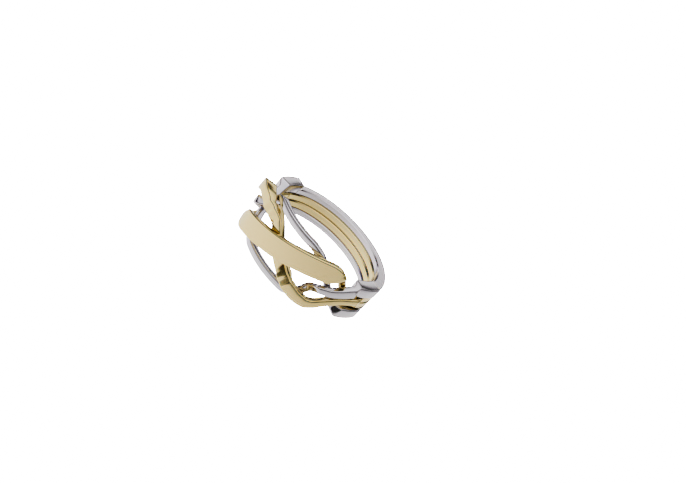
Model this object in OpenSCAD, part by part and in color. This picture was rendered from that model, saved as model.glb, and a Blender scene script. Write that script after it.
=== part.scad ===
// Four-band interlocking puzzle ring, in millimetres.
// The ring lies round the Z axis. Its weave faces -Y and its plain shank faces +Y.
// The origin is the centre of the finger hole, halfway across the four bands of the shank.

/* [Shank] */
// Radius of the finger hole
bore_r = 16; // [14:0.1:21]
// Radial thickness of every band in the shank
shank_t = 2.8; // [2.2:0.05:3.4]
// Width of each gold band in the shank
gold_w = 1.95; // [1.6:0.05:2.4]
// Width of each silver band in the shank
silver_w = 1.7; // [1.4:0.05:2.1]
// Free play between two neighbouring bands of the shank
band_gap = 0.2; // [0.12:0.01:0.4]
// Bevel along the edges of the shank
bevel = 0.3; // [0.1:0.05:0.5]
// Angle from the weave's middle at which the gold shanks start
gold_end = 88; // [86:1:96]

/* [Weave] */
// Radial thickness of every band in the weave
strand_t = 1.9; // [1.4:0.05:2.2]
// Radial free play between the two layers of the weave
layer_gap = 0.35; // [0.2:0.01:0.5]
// Width of the silver bands in the weave
silver_strand_w = 1.9; // [1.5:0.05:2.3]
// Width of the gold bands where they cross others at the sides of the weave
gold_strand_w = 1.85; // [1.5:0.05:2.2]
// Greatest width of the near gold band
near_gold_broad_w = 3.7; // [3:0.05:4.2]
// Greatest width of the far gold band, which lies on top of the weave
far_gold_broad_w = 5.3; // [4.2:0.05:6]
// Height of the silver bands' turning points
silver_reach = 6.9; // [6:0.05:8]
// Height of the near gold band's turning points
near_gold_reach = 5.1; // [4.4:0.05:5.8]
// Height of the far gold band's turning points
far_gold_reach = 5.5; // [4.8:0.05:6.2]
// Radial thickness of the near gold band where it comes up out of the shank
gold_shoulder_t = 3.3; // [1.4:0.05:3.6]
// Width of the near gold band there
gold_shoulder_w = 3.1; // [1.8:0.05:3.5]
// Radius of the rounded edges of the weave
edge_r = 0.4; // [0.1:0.05:0.6]

/* [Shoulder blocks] */
// Width of the block at each end of a silver weave
block_w = 3.05; // [2.4:0.05:3.4]
// Radial thickness of the block
block_t = 3.3; // [3:0.05:4]
// Angle from the weave's middle at which the block ends in a step
block_end = 97; // [92:1:104]

/* [Hidden] */
$fn = 96;

SILVER = [0.76, 0.75, 0.79];
GOLD = [0.83, 0.76, 0.52];

// Angle between two sections of the weave, and how far a weave and a shank share metal.
section_a = 2;
bite = 3;
// Distance by which a weave stands inside or outside a face it would otherwise share.
inset = 0.1;
// Half the angle over which a band's direction is measured.
lead_a = 4;

// Heights of the shank's lanes and of the silver blocks.
gold_z = (gold_w + band_gap) / 2;
silver_z = gold_w + 1.5 * band_gap + silver_w / 2;
block_z = gold_w + 1.5 * band_gap + inset + block_w / 2;

// The two layers of the weave, measured outward from the finger hole.
low = inset;
high = low + strand_t + layer_gap;
// Thickness of a band that fills both layers.
full_t = high - low + strand_t;
mid_r = bore_r + high;

// The near gold band's dive drops by dive_drop and ends at dive_z.
dive_clear = 1.5;
dive_drop = 1.38;
dive_z = silver_reach - silver_strand_w / 2 - 0.43 * near_gold_broad_w - dive_clear;

// Sections of a band: [angle, height, lift above the finger hole, thickness, width].
function block(a) = [a, block_z, low, block_t, block_w];
function silver(a, z, lift, w = silver_strand_w) = [a, z, lift, strand_t, w];
function gold(a, z, lift, w = gold_strand_w, t = strand_t) = [a, z, lift, t, w];
function gold_root(a, z) = [a, z, inset, shank_t - 2 * inset, gold_w - 2 * inset];

// A route turned half way round the line through the weave's middle.
function turned(route) =
    [for (i = [len(route) - 1:-1:0]) let(r = route[i]) [-r[0], -r[1], r[2], r[3], r[4]]];

// Width of a silver band that has come part of the way from its strand to its block.
function blade_w(part) = silver_strand_w + part * (block_w - silver_strand_w);

near_silver_route = [
    block(-block_end),
    block(-74),
    silver(-68, 0.85 * block_z, low),
    silver(-57, 0.16 * block_z, low),
    silver(-44, -0.5 * silver_reach, low),
    silver(-31, -0.9 * silver_reach, low),
    silver(-20, -silver_reach, low),
    silver(25, -silver_reach, low),
    silver(37, -0.72 * silver_reach, low),
    silver(41, -0.38 * silver_reach, low),
    silver(47, 0, high),
    silver(55, 0.22 * block_z, high, blade_w(0.2)),
    silver(63, 0.57 * block_z, high, blade_w(0.5)),
    silver(70, 0.9 * block_z, high, blade_w(0.8)),
    block(75),
    block(block_end),
];

// The near gold band's dive under the far gold one, which ends clear of the silver bands' inner edges.
near_gold_dive = [
    gold(-28, dive_z + dive_drop, high, 0.86 * near_gold_broad_w),
    gold(-22, dive_z + 0.7 * dive_drop, low, 0.86 * near_gold_broad_w, 0.76 * full_t),
    gold(-17.5, dive_z + 0.36 * dive_drop, low, 0.86 * near_gold_broad_w, 0.57 * full_t),
    gold(-13.5, dive_z, low, 0.86 * near_gold_broad_w),
];
near_gold_route = concat(
    [
        gold_root(-gold_end - bite, gold_z),
        gold_root(-78, gold_z),
        gold(-69, 1.15 * gold_z, high),
        gold(-62, 0.35 * near_gold_reach, high, 0.85 * gold_shoulder_w, 0.92 * gold_shoulder_t),
        gold(-55, 0.65 * near_gold_reach, high, gold_shoulder_w, gold_shoulder_t),
        gold(-50, 0.85 * near_gold_reach, high, gold_shoulder_w, gold_shoulder_t),
        gold(-44, 0.97 * near_gold_reach, high, gold_shoulder_w, 0.97 * gold_shoulder_t),
        gold(-36, 0.98 * near_gold_reach, high, 0.8 * near_gold_broad_w, 0.85 * gold_shoulder_t),
    ],
    near_gold_dive,
    [gold(0, 0, low, 0.86 * near_gold_broad_w)],
    turned(near_gold_dive),
    [
        gold(38, -0.99 * near_gold_reach, high, 3),
        gold(44, -near_gold_reach, high, 2.7),
        gold(50, -0.82 * near_gold_reach, high, 2.1),
        gold(55, -0.52 * near_gold_reach, high),
        gold(60, -0.26 * near_gold_reach, high),
        gold(66, 0, high),
        gold(72, 0.6 * gold_z, high),
        gold(79, gold_z, high),
        gold_root(gold_end, gold_z),
        gold_root(gold_end + bite, gold_z),
    ]);

far_gold_route = [
    gold_root(-gold_end - bite, -gold_z),
    gold_root(-80, -gold_z),
    gold(-72, -1.05 * gold_z, low),
    gold(-63, -0.36 * far_gold_reach, low),
    gold(-57, -0.7 * far_gold_reach, low),
    gold(-50, -0.96 * far_gold_reach, high, 2.4),
    gold(-46, -far_gold_reach, high, 3.9),
    gold(-40, -0.87 * far_gold_reach, high, far_gold_broad_w),
    gold(0, 0, high, far_gold_broad_w),
    gold(44, 0.92 * far_gold_reach, high, far_gold_broad_w),
    gold(50, far_gold_reach, high, 4.1),
    gold(53.5, 0.97 * far_gold_reach, high, 2.8),
    gold(60, 0.68 * far_gold_reach, low),
    gold(65, 0.36 * far_gold_reach, low),
    gold(73, 0, low),
    gold(80, -gold_z, low),
    gold_root(gold_end, -gold_z),
    gold_root(gold_end + bite, -gold_z),
];

// Index of the stretch of a route that holds angle a.
function stretch(route, a, i = 0) =
    i >= len(route) - 2 || a < route[i + 1][0] ? i : stretch(route, a, i + 1);

// Rise of column c from section i to the next, for each degree.
function rise(route, i, c) = (route[i + 1][c] - route[i][c]) / (route[i + 1][0] - route[i][0]);

// Slope of column c at section i: level at the ends and at every turning point.
function lean(route, i, c) =
    i == 0 || i == len(route) - 1 ? 0
    : let(p = rise(route, i - 1, c), q = rise(route, i, c))
        p * q <= 0 ? 0 : 2 * p * q / (p + q);

// Column c of a route at angle a, on a cubic curve that never overshoots the sections.
function along(route, a, c) =
    let(i = stretch(route, a),
        from = route[i],
        to = route[i + 1],
        d = to[0] - from[0],
        t = min(1, max(0, (a - from[0]) / d)))
    (1 + 2 * t) * pow(1 - t, 2) * from[c] + t * pow(1 - t, 2) * d * lean(route, i, c)
    + t * t * (3 - 2 * t) * to[c] + t * t * (t - 1) * d * lean(route, i + 1, c);

// The angle at which a route climbs across the weave.
function climb(route, a) =
    atan2(along(route, a + lead_a, 1) - along(route, a - lead_a, 1), mid_r * 2 * lead_a * PI / 180);

// The point at angle a from the weave's middle, radius r and height z.
function place(a, r, z) = [r * sin(a), -r * cos(a), z];

// A rectangle with rounded corners, centred sideways and standing on zero.
function outline(w, t) =
    [for (corner = [0:3], k = [0:2])
        [(corner == 0 || corner == 3 ? 1 : -1) * (w / 2 - edge_r) + edge_r * cos(90 * corner + 45 * k),
         (corner < 2 ? t - edge_r : edge_r) + edge_r * sin(90 * corner + 45 * k)]];

// The section of a route at angle a, square to its direction.
function section(route, a) =
    let(z = along(route, a, 1),
        r = bore_r + along(route, a, 2),
        s = climb(route, a))
    [for (p = outline(along(route, a, 4), along(route, a, 3)))
        place(a - p[0] * sin(s) * 180 / PI / mid_r, r + p[1], z + p[0] * cos(s))];

// The woven part of a band, swept along its route.
module weave(route) {
    first_a = route[0][0];
    last_a = route[len(route) - 1][0];
    count = ceil((last_a - first_a) / section_a);
    rings = [for (i = [0:count]) section(route, first_a + (last_a - first_a) * i / count)];
    n = len(rings[0]);
    polyhedron(
        points = [for (r = rings) each r],
        faces = [
            [for (j = [0:n - 1]) j],
            [for (j = [n - 1:-1:0]) count * n + j],
            for (i = [0:count - 1], j = [0:n - 1])
                [i * n + j, (i + 1) * n + j, (i + 1) * n + (j + 1) % n],
            for (i = [0:count - 1], j = [0:n - 1])
                [i * n + j, (i + 1) * n + (j + 1) % n, i * n + (j + 1) % n],
        ]);
}

// The plain part of a band at height z, from angle end round the back to the other side.
module shank(z, w, end) {
    rotate([0, 0, end - 90])
        rotate_extrude(angle = 360 - 2 * end)
            polygon([
                [bore_r, z + bevel - w / 2],
                [bore_r + bevel, z - w / 2],
                [bore_r + shank_t - bevel, z - w / 2],
                [bore_r + shank_t, z + bevel - w / 2],
                [bore_r + shank_t, z + w / 2 - bevel],
                [bore_r + shank_t - bevel, z + w / 2],
                [bore_r + bevel, z + w / 2],
                [bore_r, z + w / 2 - bevel],
            ]);
}

module near_silver_band() {
    color(SILVER) {
        shank(silver_z, silver_w, block_end - bite);
        weave(near_silver_route);
    }
}

module near_gold_band() {
    color(GOLD) {
        shank(gold_z, gold_w, gold_end);
        weave(near_gold_route);
    }
}

module far_gold_band() {
    color(GOLD) {
        shank(-gold_z, gold_w, gold_end);
        weave(far_gold_route);
    }
}

module far_silver_band() {
    color(SILVER) {
        shank(-silver_z, silver_w, block_end - bite);
        weave(turned(near_silver_route));
    }
}

near_silver_band();
near_gold_band();
far_gold_band();
far_silver_band();
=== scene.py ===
"""Interlocking puzzle ring: the polished look of its four bands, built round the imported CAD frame.

Sizes in the upper half are millimetres and the same as in the CAD source; the scene is in metres.
A route is a list of sections [angle, height, lift above the finger hole, thickness, width].
"""
import math

import bmesh
import bpy
from mathutils import Matrix, Vector


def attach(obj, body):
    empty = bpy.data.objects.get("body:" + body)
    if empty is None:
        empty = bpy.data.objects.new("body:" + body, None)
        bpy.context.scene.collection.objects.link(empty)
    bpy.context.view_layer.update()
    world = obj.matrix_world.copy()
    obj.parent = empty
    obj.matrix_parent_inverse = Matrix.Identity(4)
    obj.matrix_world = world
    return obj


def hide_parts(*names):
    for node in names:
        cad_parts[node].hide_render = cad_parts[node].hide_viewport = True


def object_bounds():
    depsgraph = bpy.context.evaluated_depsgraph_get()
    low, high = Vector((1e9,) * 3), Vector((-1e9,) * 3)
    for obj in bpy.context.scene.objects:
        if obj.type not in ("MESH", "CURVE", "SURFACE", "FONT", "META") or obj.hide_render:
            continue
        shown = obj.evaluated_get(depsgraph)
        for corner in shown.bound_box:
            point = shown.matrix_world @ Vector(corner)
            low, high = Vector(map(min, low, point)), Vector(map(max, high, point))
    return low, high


MM = 0.001

# Shank
BORE_R = 16.0
SHANK_T = 2.8
GOLD_W = 1.95
SILVER_W = 1.7
BAND_GAP = 0.2
BEVEL = 0.3
GOLD_END = 88.0

# Weave
STRAND_T = 1.9
LAYER_GAP = 0.35
SILVER_STRAND_W = 1.9
GOLD_STRAND_W = 1.85
NEAR_GOLD_BROAD_W = 3.7
FAR_GOLD_BROAD_W = 5.3
SILVER_REACH = 6.9
NEAR_GOLD_REACH = 5.1
FAR_GOLD_REACH = 5.5
GOLD_SHOULDER_T = 3.3
GOLD_SHOULDER_W = 3.1

# Shoulder blocks
BLOCK_W = 3.05
BLOCK_T = 3.3
BLOCK_END = 97.0

BITE = 3.0
INSET = 0.1
LEAD_A = 4.0
GOLD_Z = (GOLD_W + BAND_GAP) / 2
SILVER_Z = GOLD_W + 1.5 * BAND_GAP + SILVER_W / 2
BLOCK_Z = GOLD_W + 1.5 * BAND_GAP + INSET + BLOCK_W / 2
LOW = INSET
HIGH = LOW + STRAND_T + LAYER_GAP
FULL_T = HIGH - LOW + STRAND_T
MID_R = BORE_R + HIGH
DIVE_CLEAR = 1.5
DIVE_DROP = 1.38
DIVE_Z = SILVER_REACH - SILVER_STRAND_W / 2 - 0.43 * NEAR_GOLD_BROAD_W - DIVE_CLEAR

# How finely the look is built
STEP_A = 0.5
EDGE_R = 0.38
CORNER_STEPS = 4
# Angle and rise of the painted-shade lines at the silver blocks' ends
SEAM_SHADE_A = 0.75
SEAM_SHADE_PROUD = 0.012

# Studio: what the metal mirrors, by height, from straight down at 0 to straight up at 1
SKY_STRENGTH = 1.55
SKY_LEVELS = (
    (0.24, 1.0), (0.315, 0.90), (0.345, 0.35), (0.38, 0.02), (0.60, 0.02), (0.64, 0.25), (0.675, 0.75),
    (0.71, 0.60), (0.725, 0.03), (0.80, 0.02), (0.84, 0.50), (0.92, 1.0),
)
LEFT_LEVEL = 1.7
RIGHT_LEVEL = 0.75
FLOOR_GLOW = 16.0
FLOOR_SIZE = 2.4
DOME_R = 1.1
DOME_DETAIL = 3

# Metal
SILVER_COLOUR = (0.60, 0.575, 0.63, 1.0)
GOLD_COLOUR = (0.74, 0.58, 0.20, 1.0)
# Near-black colour of the painted shade in the crease at each silver block's end
SEAM_SHADE_COLOUR = (0.02, 0.017, 0.014)
LOW_ROUGH = 0.06
HIGH_ROUGH = 0.16
SHARP_A = 35.0

# Camera: its direction and lean in degrees, and its place in metres
VIEW_AZIMUTH = 25.0
VIEW_RISE = 0.40
VIEW_ROLL = 43.67
VIEW_DISTANCE = 0.224
VIEW_RIGHT = 0.00583
VIEW_UP = 0.00105
LENS = 46.4


def block(a):
    return [a, BLOCK_Z, LOW, BLOCK_T, BLOCK_W]


def silver(a, z, lift, w=SILVER_STRAND_W):
    return [a, z, lift, STRAND_T, w]


def blade_w(part):
    """Width of a silver band that has come part of the way from its strand to its block."""
    return SILVER_STRAND_W + part * (BLOCK_W - SILVER_STRAND_W)


def gold(a, z, lift, w=GOLD_STRAND_W, t=STRAND_T):
    return [a, z, lift, t, w]


def gold_root(a, z):
    return [a, z, INSET, SHANK_T - 2 * INSET, GOLD_W - 2 * INSET]


def turned(route):
    """The route turned half way round the line through the weave's middle."""
    return [[-a, -z, lift, t, w] for a, z, lift, t, w in reversed(route)]


def near_silver_route():
    return [
        block(-BLOCK_END),
        block(-74),
        silver(-68, 0.85 * BLOCK_Z, LOW),
        silver(-57, 0.16 * BLOCK_Z, LOW),
        silver(-44, -0.5 * SILVER_REACH, LOW),
        silver(-31, -0.9 * SILVER_REACH, LOW),
        silver(-20, -SILVER_REACH, LOW),
        silver(25, -SILVER_REACH, LOW),
        silver(37, -0.72 * SILVER_REACH, LOW),
        silver(41, -0.38 * SILVER_REACH, LOW),
        silver(47, 0, HIGH),
        silver(55, 0.22 * BLOCK_Z, HIGH, blade_w(0.2)),
        silver(63, 0.57 * BLOCK_Z, HIGH, blade_w(0.5)),
        silver(70, 0.9 * BLOCK_Z, HIGH, blade_w(0.8)),
        block(75),
        block(BLOCK_END),
    ]


def near_gold_route():
    dive = [
        gold(-28, DIVE_Z + DIVE_DROP, HIGH, 0.86 * NEAR_GOLD_BROAD_W),
        gold(-22, DIVE_Z + 0.7 * DIVE_DROP, LOW, 0.86 * NEAR_GOLD_BROAD_W, 0.76 * FULL_T),
        gold(-17.5, DIVE_Z + 0.36 * DIVE_DROP, LOW, 0.86 * NEAR_GOLD_BROAD_W, 0.57 * FULL_T),
        gold(-13.5, DIVE_Z, LOW, 0.86 * NEAR_GOLD_BROAD_W),
    ]
    start = [
        gold_root(-GOLD_END - BITE, GOLD_Z),
        gold_root(-78, GOLD_Z),
        gold(-69, 1.15 * GOLD_Z, HIGH),
        gold(-62, 0.35 * NEAR_GOLD_REACH, HIGH, 0.85 * GOLD_SHOULDER_W, 0.92 * GOLD_SHOULDER_T),
        gold(-55, 0.65 * NEAR_GOLD_REACH, HIGH, GOLD_SHOULDER_W, GOLD_SHOULDER_T),
        gold(-50, 0.85 * NEAR_GOLD_REACH, HIGH, GOLD_SHOULDER_W, GOLD_SHOULDER_T),
        gold(-44, 0.97 * NEAR_GOLD_REACH, HIGH, GOLD_SHOULDER_W, 0.97 * GOLD_SHOULDER_T),
        gold(-36, 0.98 * NEAR_GOLD_REACH, HIGH, 0.8 * NEAR_GOLD_BROAD_W, 0.85 * GOLD_SHOULDER_T),
    ]
    end = [
        gold(38, -0.99 * NEAR_GOLD_REACH, HIGH, 3.0),
        gold(44, -NEAR_GOLD_REACH, HIGH, 2.7),
        gold(50, -0.82 * NEAR_GOLD_REACH, HIGH, 2.1),
        gold(55, -0.52 * NEAR_GOLD_REACH, HIGH),
        gold(60, -0.26 * NEAR_GOLD_REACH, HIGH),
        gold(66, 0, HIGH),
        gold(72, 0.6 * GOLD_Z, HIGH),
        gold(79, GOLD_Z, HIGH),
        gold_root(GOLD_END, GOLD_Z),
        gold_root(GOLD_END + BITE, GOLD_Z),
    ]
    middle = [gold(0, 0, LOW, 0.86 * NEAR_GOLD_BROAD_W)]
    return start + dive + middle + turned(dive) + end


def far_gold_route():
    return [
        gold_root(-GOLD_END - BITE, -GOLD_Z),
        gold_root(-80, -GOLD_Z),
        gold(-72, -1.05 * GOLD_Z, LOW),
        gold(-63, -0.36 * FAR_GOLD_REACH, LOW),
        gold(-57, -0.7 * FAR_GOLD_REACH, LOW),
        gold(-50, -0.96 * FAR_GOLD_REACH, HIGH, 2.4),
        gold(-46, -FAR_GOLD_REACH, HIGH, 3.9),
        gold(-40, -0.87 * FAR_GOLD_REACH, HIGH, FAR_GOLD_BROAD_W),
        gold(0, 0, HIGH, FAR_GOLD_BROAD_W),
        gold(44, 0.92 * FAR_GOLD_REACH, HIGH, FAR_GOLD_BROAD_W),
        gold(50, FAR_GOLD_REACH, HIGH, 4.1),
        gold(53.5, 0.97 * FAR_GOLD_REACH, HIGH, 2.8),
        gold(60, 0.68 * FAR_GOLD_REACH, LOW),
        gold(65, 0.36 * FAR_GOLD_REACH, LOW),
        gold(73, 0, LOW),
        gold(80, -GOLD_Z, LOW),
        gold_root(GOLD_END, -GOLD_Z),
        gold_root(GOLD_END + BITE, -GOLD_Z),
    ]


def rise(route, i, c):
    """Slope of column c from section i to the next."""
    return (route[i + 1][c] - route[i][c]) / (route[i + 1][0] - route[i][0])


def lean(route, i, c):
    """Slope of column c at section i: level at the ends and at every turning point."""
    if i in (0, len(route) - 1):
        return 0.0
    p, q = rise(route, i - 1, c), rise(route, i, c)
    return 0.0 if p * q <= 0 else 2 * p * q / (p + q)


def along(route, a, c):
    """Column c of a route at angle a, on a cubic curve that never overshoots the sections."""
    i = 0
    while i < len(route) - 2 and a >= route[i + 1][0]:
        i += 1
    d = route[i + 1][0] - route[i][0]
    t = min(1.0, max(0.0, (a - route[i][0]) / d))
    here, there = route[i][c], route[i + 1][c]
    return (
        (1 + 2 * t) * (1 - t) ** 2 * here
        + t * (1 - t) ** 2 * d * lean(route, i, c)
        + t * t * (3 - 2 * t) * there
        + t * t * (t - 1) * d * lean(route, i + 1, c)
    )


def place(a, r, z):
    """The point at angle a in degrees from the weave's middle, in metres."""
    return (r * math.sin(math.radians(a)) * MM, -r * math.cos(math.radians(a)) * MM, z * MM)


def outline(w, t):
    """A rectangle with rounded corners, centred sideways and standing on zero."""
    e = min(EDGE_R, t / 2, w / 2)
    points = []
    for corner, (su, top) in enumerate(((1, 1), (-1, 1), (-1, 0), (1, 0))):
        for k in range(CORNER_STEPS + 1):
            a = math.radians(90 * corner + 90 * k / CORNER_STEPS)
            v = t - e if top else e
            points.append((su * (w / 2 - e) + e * math.cos(a), v + e * math.sin(a)))
    return points


def section(route, a):
    """The band's cross-section at angle a, turned to face along the band."""
    z = along(route, a, 1)
    r = BORE_R + along(route, a, 2)
    run = MID_R * math.radians(2 * LEAD_A)
    s = math.atan2(along(route, a + LEAD_A, 1) - along(route, a - LEAD_A, 1), run)
    shape = outline(along(route, a, 4), along(route, a, 3))
    return [
        place(a - math.degrees(u * math.sin(s) / MID_R), r + v, z + u * math.cos(s)) for u, v in shape
    ]


def skin(rings):
    """Points and faces of a closed tube through a list of sections, capped at both ends."""
    n = len(rings[0])
    faces = [list(range(n)), [len(rings) * n - 1 - j for j in range(n)]]
    for i in range(len(rings) - 1):
        for j in range(n):
            k = (j + 1) % n
            faces.append([i * n + k, i * n + j, (i + 1) * n + j, (i + 1) * n + k])
    return [p for ring in rings for p in ring], faces


def weave(route):
    first, last = route[0][0], route[-1][0]
    count = round((last - first) / STEP_A)
    return skin([section(route, first + (last - first) * i / count) for i in range(count + 1)])


def shank(z, w, end):
    """The plain back of a band, from angle end round to the other side."""
    e = BEVEL
    shape = [
        (w / 2, SHANK_T - e), (w / 2 - e, SHANK_T), (e - w / 2, SHANK_T), (-w / 2, SHANK_T - e),
        (-w / 2, e), (e - w / 2, 0), (w / 2 - e, 0), (w / 2, e),
    ]
    sweep = 360 - 2 * end
    count = round(sweep)
    return skin([
        [place(end + sweep * i / count, BORE_R + v, z + u) for u, v in shape] for i in range(count + 1)
    ])


def metal(name, colour):
    """Polished cast metal with faint cloudiness and a slightly uneven surface."""
    mat = bpy.data.materials.new(name)
    mat.use_nodes = True
    nodes, links = mat.node_tree.nodes, mat.node_tree.links
    shader = nodes["Principled BSDF"]
    shader.inputs["Base Color"].default_value = colour
    shader.inputs["Metallic"].default_value = 1.0
    coords = nodes.new("ShaderNodeTexCoord")
    cloud = nodes.new("ShaderNodeTexNoise")
    cloud.inputs["Scale"].default_value = 320.0
    cloud.inputs["Detail"].default_value = 4.0
    spread = nodes.new("ShaderNodeMapRange")
    spread.inputs["To Min"].default_value = LOW_ROUGH
    spread.inputs["To Max"].default_value = HIGH_ROUGH
    grain = nodes.new("ShaderNodeTexNoise")
    grain.inputs["Scale"].default_value = 420.0
    grain.inputs["Detail"].default_value = 2.0
    bump = nodes.new("ShaderNodeBump")
    bump.inputs["Strength"].default_value = 0.06
    bump.inputs["Distance"].default_value = 0.0002
    links.new(coords.outputs["Object"], cloud.inputs["Vector"])
    links.new(coords.outputs["Object"], grain.inputs["Vector"])
    links.new(cloud.outputs["Fac"], spread.inputs["Value"])
    links.new(spread.outputs["Result"], shader.inputs["Roughness"])
    links.new(grain.outputs["Fac"], bump.inputs["Height"])
    links.new(bump.outputs["Normal"], shader.inputs["Normal"])
    return mat


def add_mesh(name, points, faces, mat):
    mesh = bpy.data.meshes.new(name)
    mesh.from_pydata(points, [], faces)
    mesh.shade_smooth()
    mesh.set_sharp_from_angle(angle=math.radians(SHARP_A))
    mesh.materials.append(mat)
    piece = bpy.data.objects.new(name, mesh)
    bpy.context.scene.collection.objects.link(piece)
    normals = piece.modifiers.new("normals", "WEIGHTED_NORMAL")
    normals.keep_sharp = True
    return piece


def add_part(name, parts, mat, node, body):
    """One band piece from closed skins, riding on its body in place of its CAD node."""
    points, faces = [], []
    for part_points, part_faces in parts:
        base = len(points)
        points += part_points
        faces += [[base + i for i in f] for f in part_faces]
    piece = add_mesh(name, points, faces, mat)
    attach(piece, body)
    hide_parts(node)


def near_silver(mat):
    parts = [shank(SILVER_Z, SILVER_W, BLOCK_END - BITE), weave(near_silver_route())]
    add_part("near_silver_polished", parts, mat, "near_silver_band", "near_silver")


def near_gold(mat):
    parts = [shank(GOLD_Z, GOLD_W, GOLD_END), weave(near_gold_route())]
    add_part("near_gold_polished", parts, mat, "near_gold_band", "near_gold")


def far_gold(mat):
    parts = [shank(-GOLD_Z, GOLD_W, GOLD_END), weave(far_gold_route())]
    add_part("far_gold_polished", parts, mat, "far_gold_band", "far_gold")


def far_silver(mat):
    parts = [shank(-SILVER_Z, SILVER_W, BLOCK_END - BITE), weave(turned(near_silver_route()))]
    add_part("far_silver_polished", parts, mat, "far_silver_band", "far_silver")


def seam_shades(name, route, mat, body):
    """Painted shade: near-black lines round the outer ends of a silver band's two blocks, where the
    crease at each block's end lies in shade.
    """
    for end, a in (("start", route[0][0]), ("end", route[-1][0])):
        inward = -math.copysign(SEAM_SHADE_A, a)
        rings = [seam_shade_ring(route, a + inward), seam_shade_ring(route, a)]
        points, faces = skin(rings if a > 0 else rings[::-1])
        piece = add_mesh(f"{name}_{end}", points, faces, mat)
        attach(piece, body)


def seam_shade_ring(route, a):
    """The block's section at angle a, a hair larger all round, to carry the painted shade."""
    z = along(route, a, 1)
    shape = outline(along(route, a, 4) + 2 * SEAM_SHADE_PROUD, along(route, a, 3) + 2 * SEAM_SHADE_PROUD)
    return [place(a, BORE_R + LOW + v - SEAM_SHADE_PROUD, z + u) for u, v in shape]


def plain(name, colour, strength=0.0):
    """A matt surface, or a glowing one if it has a strength."""
    mat = bpy.data.materials.new(name)
    mat.use_nodes = True
    shader = mat.node_tree.nodes["Principled BSDF"]
    shader.inputs["Base Color"].default_value = (*colour, 1.0)
    shader.inputs["Roughness"].default_value = 1.0
    shader.inputs["Specular IOR Level"].default_value = 0.0
    if strength:
        shader.inputs["Emission Color"].default_value = (*colour, 1.0)
        shader.inputs["Emission Strength"].default_value = strength
    return mat


def stage_piece(name, points, faces, mat):
    """A white surface behind or under the ring, which the metal doesn't mirror."""
    mesh = bpy.data.meshes.new(name)
    mesh.from_pydata(points, [], faces)
    mesh.materials.append(mat)
    obj = bpy.data.objects.new(name, mesh)
    obj.visible_glossy = False
    bpy.context.scene.collection.objects.link(obj)


def surroundings():
    """Bright and dark bands of sky for the polished metal to mirror, brighter towards -X."""
    world = bpy.data.worlds.new("studio")
    bpy.context.scene.world = world
    world.use_nodes = True
    nodes, links = world.node_tree.nodes, world.node_tree.links
    coords = nodes.new("ShaderNodeTexCoord")
    axes = nodes.new("ShaderNodeSeparateXYZ")
    height = nodes.new("ShaderNodeMapRange")
    height.inputs["From Min"].default_value = -1.0
    height.inputs["From Max"].default_value = 1.0
    ramp = nodes.new("ShaderNodeValToRGB")
    stops = ramp.color_ramp.elements
    for stop in stops:
        stop.color = (1.0, 1.0, 1.0, 1.0)
    for position, level in SKY_LEVELS:
        stops.new(position).color = (level, level * 0.97, level * 0.94, 1.0)
    across = nodes.new("ShaderNodeMapRange")
    across.inputs["From Min"].default_value = -1.0
    across.inputs["From Max"].default_value = 1.0
    across.inputs["To Min"].default_value = LEFT_LEVEL * SKY_STRENGTH
    across.inputs["To Max"].default_value = RIGHT_LEVEL * SKY_STRENGTH
    background = nodes["Background"]
    links.new(coords.outputs["Generated"], axes.inputs["Vector"])
    links.new(axes.outputs["Z"], height.inputs["Value"])
    links.new(axes.outputs["X"], across.inputs["Value"])
    links.new(height.outputs["Result"], ramp.inputs["Fac"])
    links.new(ramp.outputs["Color"], background.inputs["Color"])
    links.new(across.outputs["Result"], background.inputs["Strength"])


def studio(floor_z):
    """The mirrored surroundings, and a glowing white floor and backdrop."""
    surroundings()
    white = plain("floor_white", (1.0, 1.0, 1.0), FLOOR_GLOW)
    half = FLOOR_SIZE / 2
    around = ((-half, -half), (half, -half), (half, half), (-half, half))
    stage_piece("floor", [(x, y, floor_z) for x, y in around], [[0, 1, 2, 3]], white)
    dome = bmesh.new()
    bmesh.ops.create_icosphere(dome, subdivisions=DOME_DETAIL, radius=DOME_R)
    points = [tuple(v.co) for v in dome.verts]
    faces = [[v.index for v in f.verts] for f in dome.faces]
    dome.free()
    stage_piece("backdrop", points, faces, white)


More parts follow.
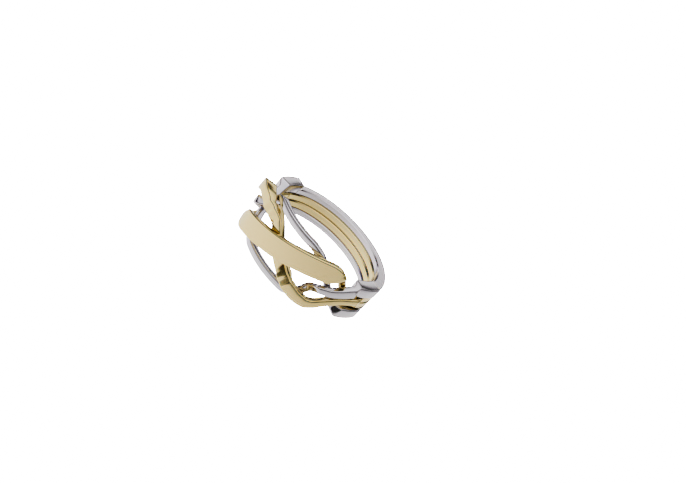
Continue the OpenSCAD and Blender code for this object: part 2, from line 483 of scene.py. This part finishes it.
def camera():
    """The photo's view: 25 degrees round to the right, looking down, with the ring leaning right."""
    azimuth, elevation = math.radians(VIEW_AZIMUTH), math.asin(VIEW_RISE)
    roll = math.radians(VIEW_ROLL)
    back = Vector((
        math.sin(azimuth) * math.cos(elevation),
        -math.cos(azimuth) * math.cos(elevation),
        math.sin(elevation),
    ))
    level = Vector((math.cos(azimuth), math.sin(azimuth), 0.0))
    rise_dir = back.cross(level)
    right = level * math.cos(roll) + rise_dir * math.sin(roll)
    up = rise_dir * math.cos(roll) - level * math.sin(roll)
    data = bpy.data.cameras.new("camera")
    data.lens = LENS
    data.sensor_width = 36.0
    data.clip_start = 0.005
    cam = bpy.data.objects.new("camera", data)
    bpy.context.scene.collection.objects.link(cam)
    spot = back * VIEW_DISTANCE + right * VIEW_RIGHT + up * VIEW_UP
    turn = Matrix((right, up, back)).transposed().to_4x4()
    cam.matrix_world = Matrix.Translation(spot) @ turn
    bpy.context.scene.camera = cam


def corners():
    lo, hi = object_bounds()
    return [list(lo), list(hi)]


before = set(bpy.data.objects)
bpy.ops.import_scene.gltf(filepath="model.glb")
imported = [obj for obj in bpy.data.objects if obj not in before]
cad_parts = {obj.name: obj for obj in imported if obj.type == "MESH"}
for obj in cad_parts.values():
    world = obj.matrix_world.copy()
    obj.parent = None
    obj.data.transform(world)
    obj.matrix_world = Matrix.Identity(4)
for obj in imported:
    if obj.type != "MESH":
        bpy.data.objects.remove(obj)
packed_size = corners()

silver_mat = metal("silver_metal", SILVER_COLOUR)
gold_mat = metal("gold_metal", GOLD_COLOUR)
near_silver(silver_mat)
near_gold(gold_mat)
far_gold(gold_mat)
far_silver(silver_mat)
# Painted shade: near-black bands at the outer ends of the silver blocks, in place of the shaded crease
# there
seam_shade_mat = plain("seam_painted_shade", SEAM_SHADE_COLOUR)
seam_shades("near_silver_seam_shade", near_silver_route(), seam_shade_mat, "near_silver")
seam_shades("far_silver_seam_shade", turned(near_silver_route()), seam_shade_mat, "far_silver")

studio(packed_size[0][2])
camera()
